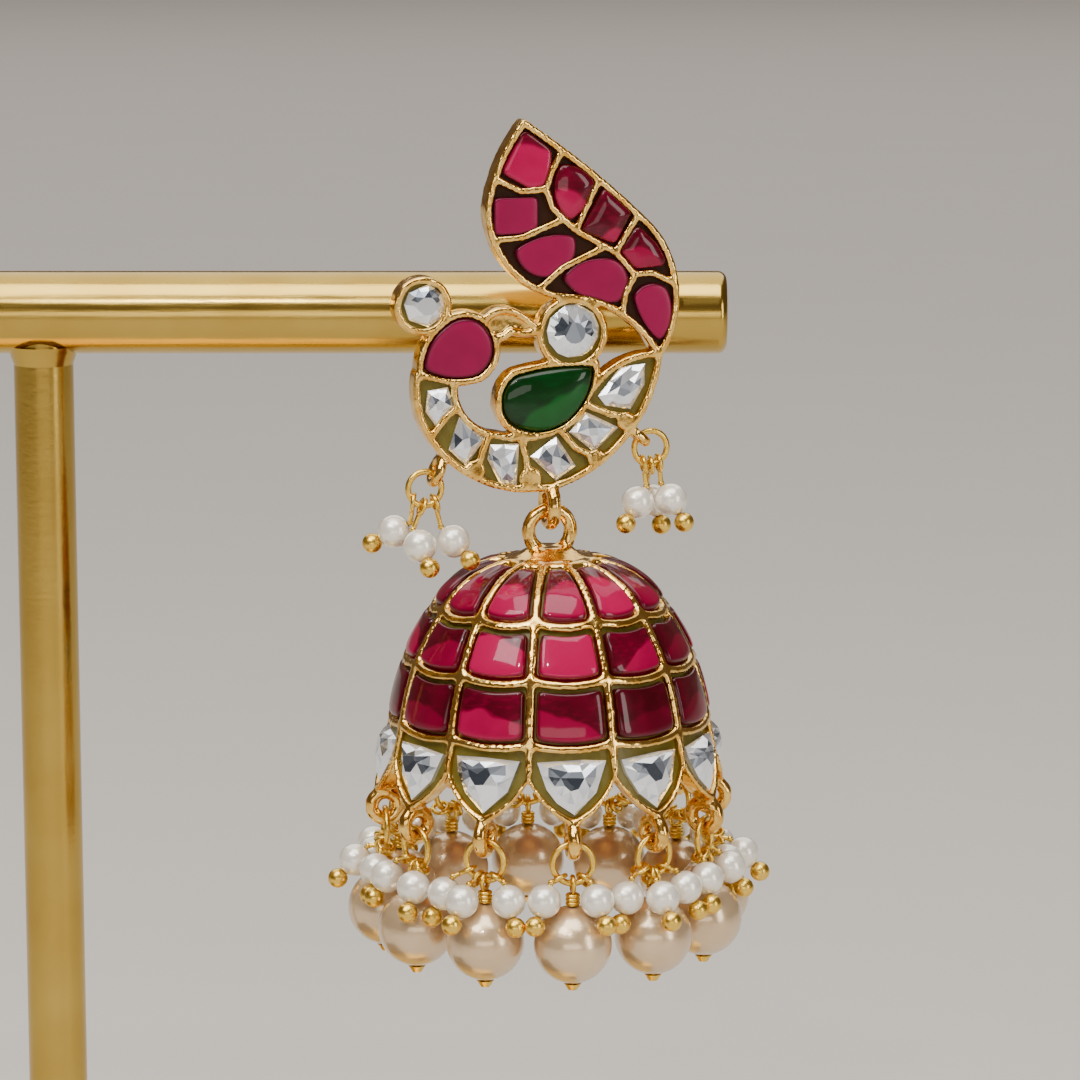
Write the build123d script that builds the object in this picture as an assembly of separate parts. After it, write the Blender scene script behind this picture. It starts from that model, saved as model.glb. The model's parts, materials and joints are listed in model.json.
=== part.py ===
from build123d import *
import os
from math import cos, radians, sin

# Jhumka earring on a T-bar stand. Millimetres, +Z up, +X along the bar towards the
# earring, -Y towards the front. The origin is the centre of the base's underside.

# ---- stand ----
BAR_HEIGHT = 100.0
BAR_RADIUS = 3.25
BAR_ENDS = (-57.47, 53.95)      # its left arm is a little longer
BAR_EDGE = 0.7
POST_RADIUS = 2.35
COLLAR_RADIUS, COLLAR_TALL = 2.85, 1.5      # flare of the post under the bar
COLLAR_DIP = 0.8                # share of the bar's radius where the flare ends
BASE_SIZE = (92.0, 62.0, 3.2)
BASE_CORNER = 8.0
BASE_EDGE = 0.8
SEAT_GAP = 0.1                  # between pieces that rest on each other
FILL_GAP = 0.03                 # under the fill of a cell, and under its stone
ROOT_DIP = 0.2                  # how far a soldered post reaches into its plate

# ---- where the earring hangs ----
HANG_X = 40.0                   # vertical axis of the bell
HANG_Y = -7.0
HANG_Z = BAR_HEIGHT - 14.54     # centre of the bell ring's top wire, the swing's pivot
YAW = 16.0                      # the stud's face is turned this far towards +X

# ---- stud: a flat plate with soldered cell walls ----
PLATE_BACK = -0.8               # depths along the stud's own normal
PLATE_FRONT = 0.9
CELL_FLOOR = 0.0
FILL_TOP = 0.45
STONE_TOP = 1.0
LEAF_FLOOR = 0.6
WALL = 0.42                     # width of the cell walls
STONE_CLEARANCE = 0.05
SOFT_CORNER = 0.35              # corners of the stones with round sides
SMALLEST_CELL = 0.15            # slivers between walls below this area are solder
EAR_POST_RADIUS = 0.5
EAR_POST_LENGTH = 13.6
EAR_POST_U = 2.9                # where the ear post leaves the stud's back
NUT_RADIUS, NUT_THICK, HUB_RADIUS, HUB_LENGTH = 2.6, 1.2, 1.6, 1.8
NUT_BORE_GAP = 0.04
NUT_REACH = 9.95                # from the plate's back to the nut's face, past the bar

# ---- bell (dome) ----
PETALS = 12
PETAL_PHASE = 7.7               # turn of one petal's middle from the front, towards +X
SHELL = 0.7                     # thickness of the metal under the stones
CELL_DEPTH = 0.9                # height of the cell walls above it
CROWN_R = 3.5                   # where the top row's cells end round the cap
STONE_GAP = 0.2                 # from a stone to the ribs round it
STONE_LIFT = 0.06               # from its fill to the stone
DOME_FILL = 0.4
REACH = 20.0                    # length of cutters that go right through the bell
PROUD = 1.0                     # how far the cutters of the cells stand out of the walls
RIB = 0.55                      # width of the ribs and rims
CAP_HEIGHT, CAP_TALL = -2.95, 1.0   # flared foot of the ring on top of the bell
CAP_FOOT, CAP_NECK = 3.2, 1.35
# outer profile: radius, height from the pivot, and how far the surface faces upwards
PROFILE = (
    (3.0, -3.73, 86),
    (6.4, -4.75, 60),
    (9.07, -7.31, 35),
    (11.32, -11.33, 22),
    (12.56, -16.05, 11),
    (13.87, -22.2, 12),         # tip of a petal
)
# row of cells: node name, height of its lower edge, height of its upper edge
ROWS = (
    ("dome_stones_top", -7.31, -3.5),
    ("dome_stones_middle", -11.33, -7.31),
    ("dome_stones_lower", -16.05, -11.33),
    ("petal_crystals", -22.2, -16.05),
)
TIP = PROFILE[-1]
HEM = PROFILE[-2][1]
NOTCH = -18.6                   # height where two petals meet
PETAL_HALF = TIP[0] * sin(radians(180 / PETALS))
TIP_OVERLAP = 0.15
# a petal's crystal, across and up: upper corner, fullest point of its side, tip
CRYSTAL, CRYSTAL_BELLY, CRYSTAL_TIP = (2.65, -17.15), (1.95, -19.35), (0, -21.25)
CRYSTAL_CROWN = 0.3             # rise of its upper edge
PETAL_SHOULDER = 0.93           # width of a petal's cell at its upper edge, of that at the notch
PETAL_BELLY = (0.6, 0.6)        # how full its curve is: share of the width, of the height
PETAL_WALL = 0.75               # its rim's width as a share of a rib's, and this at its tip:
TIP_WALL = 1.5
TIP_BLUNT = 0.1                 # cut off the end of each petal
RING_R, RING_WIRE = 1.7, 0.48
HOOK_R, HOOK_WIRE = 1.45, 0.45
LINK_GAP = 0.22                 # between the hook and the ring's top wire

# ---- pearls on the rim ----
TIP_R, TIP_WIRE = 1.07, 0.48    # loop under each petal's tip
TIP_LOOP = (13.0, -23.3)
TIP_STEM = 0.65                 # the loop's stem reaches this far up into the tip
JUMP_R, JUMP_WIRE = 1.55, 0.24
PEARL_R, PEARL_HOLE, PEARL_Z = 3.0, 0.28, -31.45
PIN_WIRE = 0.19
PIN_THINNED = 0.9               # inside a small pearl, as a share of its full radius
PIN_BEND = 1.3                  # of the knot where it bends
BEAD_R, BEAD_HOLE = 1.3, 0.25
BALL_R = 0.78
BALL_SEAT = 0.97                # the ball under a pearl just dips into its hole
COLLAR_GAP = 0.22               # from the pearl's top to the pin's bend
EYE_R, EYE_WIRE = 0.6, 0.18
WRAP_TURNS, WRAP_STEP, WRAP_R = 3, 0.3, 0.38
WRAP_LIFT = 0.24                # its lowest turn's height above the pearl
END_CAP_WIDE, END_CAP_NARROW, END_CAP_TALL = 0.68, 0.36, 0.5    # under each large pearl
END_CAP_GAP = 0.05
LINK_PLAY = 0.09                # clearance of one wire inside another's loop
LEAN_SHARE = 0.5                # how much of its eye-to-bead slant a small pearl's pin keeps
# small pearls of a petal: turn from the petal's middle, radius and height of the
# bead, and how far round the jump ring from its lowest point its eye sits
PAIR = ((-9.4, 14.3, -27.7, -42), (6.6, 14.6, -27.7, 32))
TRIO = ((-12.9, 14.0, -27.85, -58), (-3.6, 15.35, -27.85, -21), (9.6, 14.2, -27.85, 40))

# ---- outlines on the stud, as (across, up) from the pivot ----
# WING, BAND, HEAD, GREEN and LEAF are closed rows of arcs: corner, point on the arc,
# next corner, and so on
WING = ((-2.3, 30.4), (2.9, 26.6), (7.85, 22.25), (10.2, 17.0), (8.6, 11.5), (6.6, 14.2),
        (1.8, 16.4), (-3.75, 19.2), (-5.3, 23.6), (-4.0, 27.8))
WING_WALLS = (
    ((0.8, 28.0), (0.0, 26.5), (-0.5, 25.05), (0.0, 23.6), (1.8, 21.85), (5.1, 20.0),
     (6.65, 18.25), (5.9, 16.8), (5.6, 14.9)),
    ((-4.9, 26.1), (-2.45, 24.9), (-0.5, 25.05)),
    ((3.9, 26.0), (1.9, 21.8)),
    ((7.2, 23.4), (5.1, 20.0)),
    ((6.65, 18.25), (8.1, 18.3), (10.4, 17.2)),
    ((-5.2, 21.2), (-2.45, 21.35), (0.7, 22.6)),
    ((-1.0, 17.4), (0.85, 18.95), (4.1, 20.4)),
)
BAND = ((8.9, 12.1), (6.6, 6.1), (0.9, 1.9), (-5.0, 2.15), (-9.6, 5.6), (-10.85, 8.3),
        (-10.9, 11.2), (-9.3, 10.95), (-7.6, 10.4), (-7.3, 8.4), (-4.3, 6.3), (-0.9, 6.15),
        (2.1, 7.6), (4.4, 10.9))
BAND_WALLS = (
    ((-7.2, 8.6), (-8.4, 7.8), (-9.6, 6.3)),
    ((-5.0, 6.4), (-5.6, 4.9), (-6.2, 2.8)),
    ((-2.5, 6.0), (-2.1, 4.2), (-1.8, 2.0)),
    ((0.6, 6.4), (1.8, 4.9), (4.2, 3.6)),
    ((2.6, 8.3), (4.6, 7.4), (7.0, 6.9)),
)
# solder lumps where the band's walls meet its rim: across, up, radius
LUMPS = ((-6.2, 3.45, 0.75), (-1.75, 2.6, 0.85), (3.6, 3.95, 0.7), (6.0, 6.75, 0.7))
HEAD = ((-10.75, 11.1), (-10.3, 13.4), (-8.6, 15.3), (-6.4, 15.75), (-4.6, 14.3),
        (-4.3, 12.2), (-5.8, 10.35), (-8.3, 10.2))
GREEN = ((3.75, 11.6), (-0.2, 11.65), (-3.2, 11.1), (-4.5, 9.1), (-3.8, 6.7),
         (-1.3, 5.75), (1.4, 6.5), (3.5, 9.3))
LEAF = ((-5.6, 15.2), (-4.6, 15.9), (-3.1, 15.9), (-1.8, 15.1), (-0.8, 14.0),
        (-2.2, 13.7), (-3.3, 13.95), (-4.8, 13.5))
CREST, CREST_R, CREST_STONE, CREST_STONE_R = (-10.3, 16.35), 2.2, (-10.07, 16.35), 1.62
EYE, EYE_BEZEL_R, EYE_STONE, EYE_STONE_R = (1.61, 13.83), 2.8, (1.69, 14.0), 2.1

# stones with straight sides: node name, corner radius, corners
CUT_STONES = (
    ("wing_stone_1", 0.35, ((-2.3, 29.6), (-0.1, 28.0), (-0.25, 26.7), (-0.75, 25.3),
                            (-1.9, 25.2), (-4.0, 26.4))),
    ("wing_stone_3", 0.3, ((4.2, 25.1), (6.5, 23.4), (5.0, 20.7), (2.3, 21.8))),
    ("wing_stone_4", 0.4, ((6.8, 22.1), (8.4, 20.6), (9.35, 18.9), (6.7, 18.7), (5.5, 20.1))),
    ("wing_stone_5", 0.2, ((-4.6, 24.4), (-1.2, 24.4), (-1.2, 22.1), (-2.5, 21.7),
                           (-4.6, 21.65))),
    ("band_crystal_1", 0.2, ((-10.0, 9.6), (-8.5, 10.0), (-7.9, 8.6), (-9.35, 7.0),
                             (-10.0, 8.2))),
    ("band_crystal_2", 0.2, ((-7.6, 7.7), (-5.45, 6.0), (-7.1, 3.9), (-8.1, 5.0))),
    ("band_crystal_3", 0.15, ((-4.95, 5.2), (-2.65, 5.2), (-2.9, 2.35), (-4.1, 2.35),
                              (-5.05, 4.2))),
    ("band_crystal_4", 0.2, ((0.2, 5.7), (1.8, 3.6), (0.5, 2.4), (-1.6, 4.4))),
    ("band_crystal_5", 0.2, ((2.8, 7.5), (5.4, 6.1), (3.6, 4.5), (1.5, 6.2))),
    ("band_crystal_6", 0.25, ((3.8, 8.9), (5.5, 10.9), (7.4, 11.35), (7.45, 9.7), (6.2, 7.6),
                              (4.5, 8.1))),
)
# stones with a round outline: node name, points round it
ROUND_STONES = (
    ("wing_stone_2", ((0.7, 26.8), (2.4, 26.4), (3.4, 25.3), (2.8, 24.0), (1.4, 22.6),
                      (0.3, 24.2))),
    ("wing_stone_6", ((-2.9, 20.4), (-0.9, 21.3), (1.7, 21.3), (1.8, 20.3), (-0.6, 18.3),
                      (-1.7, 18.6))),
    ("wing_stone_7", ((0.9, 18.1), (2.2, 19.2), (3.9, 19.5), (6.0, 18.1), (5.3, 16.2),
                      (2.1, 16.9))),
    ("wing_stone_8", ((6.6, 16.5), (7.7, 17.35), (9.2, 17.0), (9.6, 15.3), (8.7, 13.0),
                      (7.4, 14.5))),
)
# side drops: loop centre on the stud, direction it points, jump ring centre; then for
# each pearl the eye's place round the ring, the bead's centre and its pin's direction
LEFT_DROP = {
    "loop": (-9.08, 3.43), "loop_r": 0.95, "points": (-0.34, -0.94),
    "ring": (-10.03, 2.07), "ring_r": 1.33,
    "beads": (
        (-44, (-12.15, -1.4, -1.35), (-0.75, -0.5, -0.45)),
        (-8, (-10.7, -2.2, 1.05), (0.19, -0.7, 0.62)),
        (36, (-7.85, -2.1, 0.3), (0.5, -0.66, 0.55)),
    ),
}
RIGHT_DROP = {
    "loop": (7.15, 5.5), "loop_r": 0.78, "points": (0.74, -0.67),
    "ring": (8.21, 4.48), "ring_r": 1.33,
    "beads": (
        (-26, (7.05, 0.25, 0.4), (-0.55, -0.7, 0.35)),
        (30, (9.75, 0.35, 0.5), (0.4, -0.8, 0.35)),
        (2, (9.1, -0.1, -2.15), (0.3, -0.9, 0.1)),
    ),
}
DROP_WIRE = 0.34

FACE = Plane(
    origin=(HANG_X, HANG_Y, HANG_Z),
    x_dir=(cos(radians(YAW)), sin(radians(YAW)), 0),
    z_dir=(sin(radians(YAW)), -cos(radians(YAW)), 0),
)
os.makedirs("parts", exist_ok=True)


def save(name, *shapes):
    """Write one node, whose solids keep apart from each other."""
    solids = [solid for shape in shapes for solid in shape.solids()]
    export_step(Compound(children=solids) if len(solids) > 1 else solids[0], f"parts/{name}.step")


def prism(region, normal, height):
    """Extrude each face of a drawn region along normal, whichever way the face looks."""
    solids = []
    for face in region.faces():
        ahead = face.normal_at().dot(Vector(normal)) > 0
        solids += extrude(face if ahead else -face, height).solids()
    return Part() + solids


def slab(region, low, high):
    """Extrude a drawn region of the stud between two depths along its normal."""
    return FACE * Pos(0, 0, low) * prism(region, (0, 0, 1), high - low)


def rod(start, end, radius):
    start, end = Vector(start), Vector(end)
    along = end - start
    return Plane(start, z_dir=along) * Cylinder(
        radius, along.length, align=(Align.CENTER, Align.CENTER, Align.MIN)
    )


def ring(centre, axis, radius, wire):
    return Plane(centre, z_dir=axis) * Torus(radius, wire)


def ball(centre, radius):
    return Pos(*centre) * Sphere(radius)


def arcs(points):
    """A closed outline of arcs, each through the next three points."""
    ends = (*points, points[0])
    return make_face([ThreePointArc(*ends[n:n + 3]) for n in range(0, len(points), 2)])


def around(turn):
    """Local frame of the bell: x outwards, y to the right of a viewer outside, z up."""
    return Pos(HANG_X, HANG_Y, HANG_Z) * Rot(0, 0, turn - 90)


def petal_turns():
    return [PETAL_PHASE + 360 / PETALS * n for n in range(PETALS)]


def bead_on_pin(hang, ring_tangent, bead, lean, bead_radius, hole):
    """A pearl on a wire pin: an eye round the jump ring's wire at hang, a bend above
    the pearl, and a ball under it. lean is the pin's direction through the pearl."""
    hang, bead, lean = Vector(hang), Vector(bead), Vector(lean).normalized()
    collar = bead - lean * (bead_radius + COLLAR_GAP)
    down = (collar - hang).normalized()
    axis = Vector(ring_tangent) - down * Vector(ring_tangent).dot(down)
    eye = hang + down * (EYE_R - EYE_WIRE - JUMP_WIRE - LINK_PLAY)
    ball_centre = bead + lean * (bead_radius + BALL_R * BALL_SEAT)
    through = lean * bead_radius * 2
    pearl = Plane(bead, z_dir=lean) * Sphere(bead_radius)
    pearl -= rod(bead - through, bead + through, hole)
    pin = (
        ring(eye, axis, EYE_R, EYE_WIRE)
        + rod(eye + down * EYE_R, collar, PIN_WIRE)
        + Plane(collar, x_dir=axis, z_dir=down) * Sphere(PIN_WIRE * PIN_BEND)
        + rod(collar, ball_centre, PIN_WIRE * PIN_THINNED)
        + Plane(ball_centre, x_dir=axis, z_dir=lean) * Sphere(BALL_R)
    )
    return pearl, pin


# ------------------------------------------------------------------ stand
def make_stand():
    length, depth, thick = BASE_SIZE
    outline = RectangleRounded(length, depth, BASE_CORNER)
    base = extrude(outline, thick)
    base = fillet(base.faces().sort_by(Axis.Z)[-1].edges(), BASE_EDGE)
    save("stand_base", base)

    left, right = BAR_ENDS
    bar = Rot(0, 90, 0) * Cylinder(BAR_RADIUS, right - left)
    bar = Pos((left + right) / 2, 0, BAR_HEIGHT) * bar
    bar = fillet(bar.edges().filter_by(GeomType.CIRCLE), BAR_EDGE)
    post_foot = thick + SEAT_GAP
    post = rod((0, 0, post_foot), (0, 0, BAR_HEIGHT), POST_RADIUS)
    collar_up = BAR_HEIGHT - BAR_RADIUS * COLLAR_DIP - COLLAR_TALL / 2
    collar = Pos(0, 0, collar_up) * Cone(POST_RADIUS, COLLAR_RADIUS, COLLAR_TALL)
    save("stand_frame", bar + post + collar)


# ------------------------------------------------------------------- stud
WING_FACE = arcs(WING)
BAND_FACE = arcs(BAND)
BEZELS = (
    arcs(HEAD),
    arcs(GREEN),
    Pos(*CREST) * Circle(CREST_R),
    Pos(*EYE) * Circle(EYE_BEZEL_R),
)


def stud_cells(gap):
    """The open cells between the stud's walls, gap clear of the metal."""
    faces = []
    for outline, walls in ((WING_FACE, WING_WALLS), (BAND_FACE, BAND_WALLS)):
        region = offset(outline, -WALL - gap)
        for line in walls:
            region -= trace(Polyline(*line), WALL + 2 * gap)
        if outline is BAND_FACE:
            for across, up, radius in LUMPS:
                region -= Pos(across, up) * Circle(radius + gap)
        faces += [face for face in region.faces() if face.area > SMALLEST_CELL]
    for outline in BEZELS:
        faces += offset(outline, -WALL - gap).faces()
    return faces


def make_stud():
    leaf = arcs(LEAF)
    outline = WING_FACE + BAND_FACE + leaf
    for bezel in BEZELS:
        outline += bezel
    plate = slab(outline, PLATE_BACK, PLATE_FRONT)
    for cell in stud_cells(0):
        plate -= slab(cell, CELL_FLOOR, PLATE_FRONT + 1)
    plate -= slab(offset(leaf, -WALL), LEAF_FLOOR, PLATE_FRONT + 1)

    post_up = BAR_HEIGHT + BAR_RADIUS + SEAT_GAP + EAR_POST_RADIUS - HANG_Z
    post = FACE * Pos(EAR_POST_U, post_up, PLATE_BACK + ROOT_DIP - EAR_POST_LENGTH / 2)
    plate += post * Cylinder(EAR_POST_RADIUS, EAR_POST_LENGTH)
    hook_up = -RING_WIRE - LINK_GAP - HOOK_WIRE + HOOK_R
    plate += FACE * Pos(0, hook_up, 0) * Rot(0, 90, 0) * Torus(HOOK_R, HOOK_WIRE)
    for side in (LEFT_DROP, RIGHT_DROP):
        across, up = side["points"]
        centre = FACE.from_local_coords((*side["loop"], 0))
        axis = FACE.from_local_coords(Vector(-up, across, 0)) - FACE.origin
        plate += ring(centre, axis, side["loop_r"], DROP_WIRE)
    save("stud", plate)

    nut = FACE * Pos(EAR_POST_U, post_up, PLATE_BACK - NUT_REACH)
    disc = Pos(0, 0, -NUT_THICK / 2) * Cylinder(NUT_RADIUS, NUT_THICK)
    hub = Pos(0, 0, -NUT_THICK - HUB_LENGTH / 2) * Cylinder(HUB_RADIUS, HUB_LENGTH)
    bore = Cylinder(EAR_POST_RADIUS + NUT_BORE_GAP, EAR_POST_LENGTH * 2)
    save("ear_nut", nut * (disc + hub - bore))

    clear = stud_cells(STONE_CLEARANCE)
    save("stud_fill", *[slab(face, CELL_FLOOR + FILL_GAP, FILL_TOP) for face in clear])
    make_stud_stones(clear)


def make_stud_stones(clear):
    """Each stone lies on the fill of its own cell and keeps off the walls."""
    shapes = []
    for name, corner, points in CUT_STONES:
        face = make_face(Polyline(*points, close=True))
        shapes.append((name, fillet(face.vertices(), corner)))
    for name, points in ROUND_STONES:
        face = arcs(points)
        shapes.append((name, fillet(face.vertices(), SOFT_CORNER)))
    for name, outline in zip(("head_stone", "green_stone"), BEZELS):
        shapes.append((name, offset(outline, -WALL - 2 * STONE_CLEARANCE)))
    shapes.append(("crest_crystal", Pos(*CREST_STONE) * Circle(CREST_STONE_R)))
    shapes.append(("eye_crystal", Pos(*EYE_STONE) * Circle(EYE_STONE_R)))
    for name, shape in shapes:
        inside = [(shape & face) for face in clear]
        largest = max((part for part in inside if part is not None), key=lambda s: s.area)
        save(name, slab(largest, FILL_TOP + FILL_GAP, STONE_TOP))


# ------------------------------------------------------------------- bell
def bell_body(depth):
    """The bell filled solid, with its outside moved inwards by depth. Its seam runs down
    a rib."""
    top, crown, shoulder, side, hem, tip = [
        (radius - depth * cos(radians(facing)), up - depth * sin(radians(facing)))
        for radius, up, facing in PROFILE
    ]
    fall = (tip[0] - hem[0]) / (hem[1] - tip[1])
    foot = (tip[0] + fall * REACH, tip[1] - REACH)
    face = make_face(
        Line((0, top[1]), top)
        + ThreePointArc(top, crown, shoulder)
        + ThreePointArc(shoulder, side, hem)
        + Polyline(hem, foot, (0, foot[1]), (0, top[1]))
    )
    return Rot(0, 0, PETAL_PHASE + 180 / PETALS) * revolve(Plane.XZ * face, Axis.Z)


def band_of(low, high):
    return Pos(0, 0, (low + high) / 2) * Cylinder(REACH, high - low)


def petal_prisms(gap):
    """One cutter outwards through each petal's cell: straight sides down to the notch,
    then two curves that meet above the tip."""
    inset = RIB * PETAL_WALL + gap
    half = PETAL_HALF - inset
    shoulder = half * PETAL_SHOULDER
    tip = TIP[1] + inset * TIP_WALL
    top = ROWS[3][2] - RIB / 2 - gap
    waist, low = half * PETAL_BELLY[0], NOTCH - (NOTCH - tip) * PETAL_BELLY[1]
    shape = make_face(
        Polyline((half, NOTCH), (shoulder, top), (-shoulder, top), (-half, NOTCH))
        + ThreePointArc((-half, NOTCH), (-waist, low), (0, tip))
        + ThreePointArc((half, NOTCH), (waist, low), (0, tip))
    )
    cutter = prism(Plane.YZ * shape, (1, 0, 0), REACH)
    return [Rot(0, 0, turn - 90) * cutter for turn in petal_turns()]


def crystal_prisms():
    """One cutter outwards through each petal's three-cornered crystal."""
    left, right, tip = (-CRYSTAL[0], CRYSTAL[1]), CRYSTAL, CRYSTAL_TIP
    top = (0, CRYSTAL[1] + CRYSTAL_CROWN)
    shape = make_face(
        ThreePointArc(left, top, right)
        + ThreePointArc(right, CRYSTAL_BELLY, tip)
        + ThreePointArc(tip, (-CRYSTAL_BELLY[0], CRYSTAL_BELLY[1]), left)
    )
    cutter = prism(Plane.YZ * shape, (1, 0, 0), REACH)
    return [Rot(0, 0, turn - 90) * cutter for turn in petal_turns()]


def notch_prisms():
    """What is cut away below the hem between each two petals. Neighbours overlap, so
    the petals' tips stay a little blunt."""
    edge = PETAL_HALF + TIP_OVERLAP
    reach = edge - PETAL_HALF * PETAL_BELLY[0]
    low = NOTCH - (NOTCH - TIP[1]) * PETAL_BELLY[1]
    below = TIP[1] - REACH
    shape = make_face(
        ThreePointArc((0, NOTCH), (reach, low), (edge, TIP[1]))
        + Polyline((edge, TIP[1]), (edge, below), (-edge, below), (-edge, TIP[1]))
        + ThreePointArc((-edge, TIP[1]), (-reach, low), (0, NOTCH))
    )
    cutter = prism(Plane.YZ * shape, (1, 0, 0), REACH)
    return [Rot(0, 0, turn - 90 + 180 / PETALS) * cutter for turn in petal_turns()]


def rib_slabs(width):
    """Twelve upright slabs through the axis, between the petals."""
    half_step = 180 / PETALS
    slab_box = Pos(REACH / 2, 0, HEM / 2) * Box(REACH, width, 2 * REACH)
    return [Rot(0, 0, turn - 90 + half_step) * slab_box for turn in petal_turns()]


def cell_solids(outer, inner, gap, crystals=False):
    """The twelve cells of each row, between two depths, gap clear of the metal. The
    last row's are whole petals, or only their crystals."""
    layer = bell_body(outer) - bell_body(inner)
    slabs = rib_slabs(RIB + 2 * gap)
    rows = []
    crown = Pos(0, 0, HEM / 2) * Cylinder(CROWN_R + gap, 2 * REACH)
    for name, low, high in ROWS[:3]:
        row = layer & band_of(low + RIB / 2 + gap, high - RIB / 2 - gap)
        rows.append((row - slabs - crown).solids())
    cutters = crystal_prisms() if crystals else petal_prisms(gap)
    rows.append([(layer & cutter).solids()[0] for cutter in cutters])
    return rows


def make_bell():
    hang = Pos(HANG_X, HANG_Y, HANG_Z)
    metal = (bell_body(0) - bell_body(CELL_DEPTH + SHELL)) & band_of(TIP[1] + TIP_BLUNT, 0)
    for notch in notch_prisms():
        metal -= notch
    for row in cell_solids(-PROUD, CELL_DEPTH, 0):
        metal -= row
    bail = (
        Pos(0, 0, CAP_HEIGHT - CAP_TALL / 2) * Cone(CAP_FOOT, CAP_NECK, CAP_TALL)
        + ring((0, 0, -RING_R), (0, 1, 0), RING_R, RING_WIRE)
    )
    metal += Rot(0, 0, YAW) * bail
    loop_out, loop_up = TIP_LOOP
    for turn in petal_turns():
        loop = ring((loop_out, 0, loop_up), (0, 1, 0), TIP_R, TIP_WIRE)
        neck = loop_up + TIP_R
        stem = rod((loop_out, 0, neck + TIP_STEM), (loop_out, 0, neck), TIP_WIRE)
        metal += Rot(0, 0, turn - 90) * (loop + stem)
    save("dome", hang * metal)

    fill = cell_solids(CELL_DEPTH - DOME_FILL, CELL_DEPTH - FILL_GAP, STONE_CLEARANCE)
    save("dome_fill", *[hang * cell for row in fill for cell in row])
    stones = cell_solids(0.0, CELL_DEPTH - DOME_FILL - STONE_LIFT, STONE_GAP, crystals=True)
    for row, cells in zip(ROWS, stones):
        save(row[0], *[hang * cell for cell in cells])


# ------------------------------------------------------------ hung pearls
def make_rim_pearls():
    loop_out, loop_up = TIP_LOOP
    jump_top = loop_up - TIP_R + TIP_WIRE + JUMP_WIRE + LINK_PLAY
    jump_up = jump_top - JUMP_R
    rings, pins, beads, bead_pins = [], [], [], []
    for number, turn in enumerate(petal_turns()):
        here = around(turn)
        rings.append(here * ring((loop_out, 0, jump_up), (1, 0, 0), JUMP_R, JUMP_WIRE))
        hang = (loop_out, 0, jump_up - JUMP_R)
        pearl, pin = pearl_pin(hang)
        save(f"drop_pearl_{number + 1}", here * pearl)
        pins.append(here * pin)
        for off, out, up, round_ring in TRIO if number % 2 else PAIR:
            swing = radians(round_ring)
            place = (loop_out, JUMP_R * sin(swing), jump_up - JUMP_R * cos(swing))
            tangent = (0, cos(swing), sin(swing))
            bead = Vector(out * cos(radians(off)), out * sin(radians(off)), up)
            apart = bead - Vector(*place)
            lean = Vector(apart.X * LEAN_SHARE, apart.Y * LEAN_SHARE, apart.Z)
            pearl, pin = bead_on_pin(place, tangent, bead, lean, BEAD_R, BEAD_HOLE)
            beads.append(here * pearl)
            bead_pins.append(here * pin)
    save("jump_rings", *rings)
    save("drop_pearl_pins", *pins)
    save("small_pearls", *beads)
    save("small_pearl_pins", *bead_pins)


def pearl_pin(hang):
    """A large pearl on its pin: eye, three turns of wrapped wire, and a small end cap."""
    out = hang[0]
    eye_up = hang[2] - EYE_R + EYE_WIRE + JUMP_WIRE + LINK_PLAY
    top, bottom = PEARL_Z + PEARL_R, PEARL_Z - PEARL_R
    cap_up = bottom - END_CAP_GAP - END_CAP_TALL / 2
    pearl = ball((out, 0, PEARL_Z), PEARL_R)
    pearl -= rod((out, 0, top + 1), (out, 0, bottom - 1), PEARL_HOLE)
    pin = ring((out, 0, eye_up), (0, 1, 0), EYE_R, EYE_WIRE)
    pin += rod((out, 0, eye_up - EYE_R), (out, 0, cap_up), PIN_WIRE)
    for turn in range(WRAP_TURNS):
        pin += ring((out, 0, top + WRAP_LIFT + WRAP_STEP * turn), (0, 0, 1), WRAP_R, EYE_WIRE)
    pin += Pos(out, 0, cap_up) * Cone(END_CAP_NARROW, END_CAP_WIDE, END_CAP_TALL)
    return pearl, pin


def make_side_drop(name, side):
    across, up = side["ring"]
    radius = side["ring_r"]
    centre = FACE.from_local_coords((across, up, 0))
    save(f"{name}_ring", ring(centre, FACE.z_dir, radius, JUMP_WIRE))
    beads, pins = [], []
    for round_ring, bead, lean in side["beads"]:
        swing = radians(round_ring)
        hang = (across + radius * sin(swing), up - radius * cos(swing), 0)
        tangent = (cos(swing), sin(swing), 0)
        pearl, pin = bead_on_pin(hang, tangent, bead, lean, BEAD_R, BEAD_HOLE)
        beads.append(FACE.location * pearl)
        pins.append(FACE.location * pin)
    save(f"{name}_pearls", *beads)
    save(f"{name}_pins", *pins)


make_stand()
make_stud()
make_bell()
make_rim_pearls()
make_side_drop("left_drop", LEFT_DROP)
make_side_drop("right_drop", RIGHT_DROP)
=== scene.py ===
import json
import math
import random

import bpy
import numpy as np
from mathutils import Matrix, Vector, noise


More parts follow.
